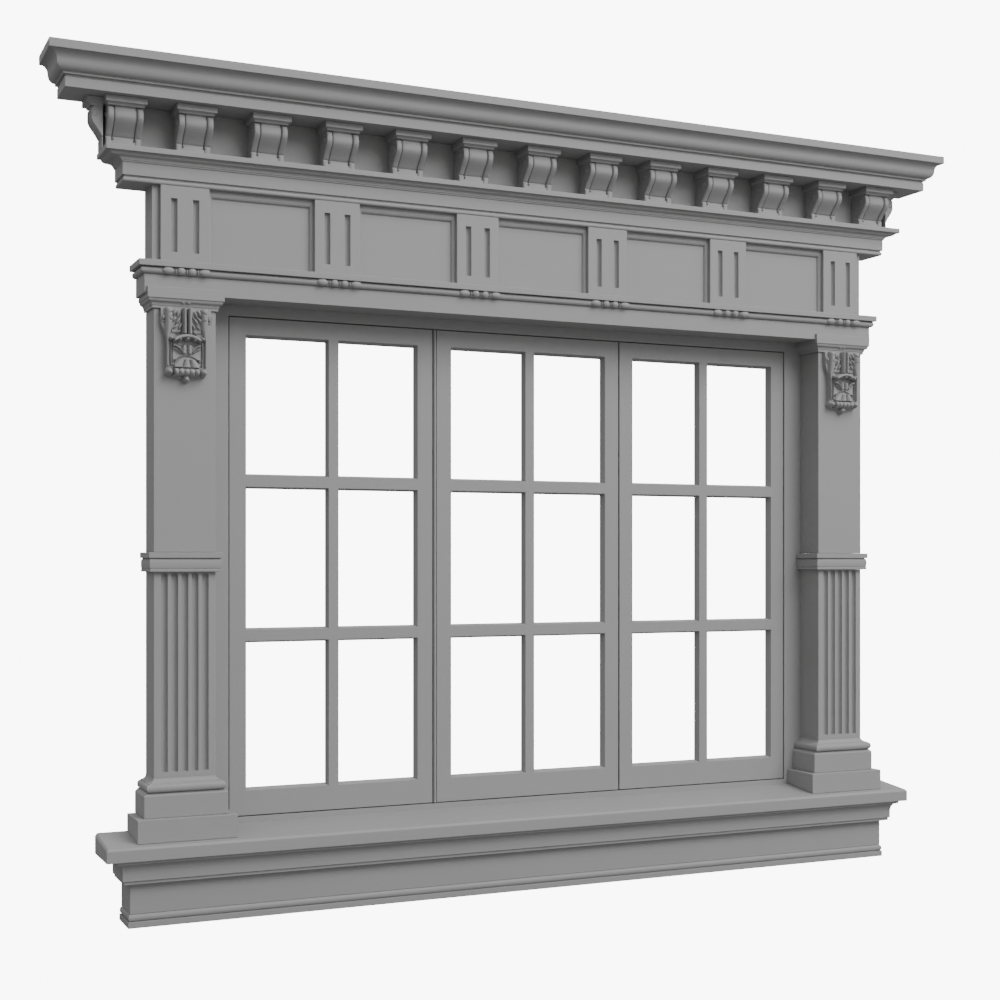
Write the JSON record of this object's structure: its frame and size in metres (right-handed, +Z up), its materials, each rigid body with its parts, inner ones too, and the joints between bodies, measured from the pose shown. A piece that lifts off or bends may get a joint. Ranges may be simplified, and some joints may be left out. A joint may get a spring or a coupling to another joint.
{
  "type": "window surround",
  "caption": "Classical joinery window surround: sill on a moulded apron, fluted pilasters with acanthus corbels, fixed sashes, triglyph frieze and bracketed cornice.",
  "frame": {"origin": "middle of the apron board's flat back, on the plane of the wall's face, 81 mm above the surround's foot", "axes": "+X along the sill to the right as seen from the front, +Y into the wall, +Z up; the front looks towards -Y"},
  "size_m": [3.0186, 0.226, 2.4175],
  "materials": {
    "painted_joinery": "matt grey paint over planed and moulded timber, with slight brush marks",
    "painted_carving": "matt grey paint over carved timber, a little thicker in the hollows"
  },
  "bodies": {
    "root": {"apron_board": "painted_joinery", "apron_foot_moulding": "painted_joinery", "under_sill_moulding": "painted_joinery", "sill": "painted_joinery", "window_frame": "painted_joinery", "sash_left": "painted_joinery", "sash_middle": "painted_joinery", "sash_right": "painted_joinery", "mullion_bead": "painted_joinery", "lower_plinth_left": "painted_joinery", "upper_plinth_left": "painted_joinery", "base_moulding_left": "painted_joinery", "fluted_shaft_left": "painted_joinery", "shaft_band_left": "painted_joinery", "upper_shaft_left": "painted_joinery", "capital_left": "painted_joinery", "acanthus_corbel_left": "painted_carving", "lower_plinth_right": "painted_joinery", "upper_plinth_right": "painted_joinery", "base_moulding_right": "painted_joinery", "fluted_shaft_right": "painted_joinery", "shaft_band_right": "painted_joinery", "upper_shaft_right": "painted_joinery", "capital_right": "painted_joinery", "acanthus_corbel_right": "painted_carving", "architrave": "painted_joinery", "taenia_moulding": "painted_joinery", "frieze": "painted_joinery", "triglyph_1": "painted_carving", "triglyph_2": "painted_carving", "triglyph_3": "painted_carving", "triglyph_4": "painted_carving", "triglyph_5": "painted_carving", "triglyph_6": "painted_carving", "bed_moulding": "painted_joinery", "modillion_course": "painted_joinery", "modillion_1": "painted_carving", "modillion_2": "painted_carving", "modillion_3": "painted_carving", "modillion_4": "painted_carving", "modillion_5": "painted_carving", "modillion_6": "painted_carving", "modillion_7": "painted_carving", "modillion_8": "painted_carving", "modillion_9": "painted_carving", "modillion_10": "painted_carving", "modillion_11": "painted_carving", "modillion_12": "painted_carving", "modillion_13": "painted_carving", "side_modillion_left": "painted_carving", "side_modillion_right": "painted_carving", "corona": "painted_joinery", "crown_moulding": "painted_joinery"}
  },
  "joints": []
}
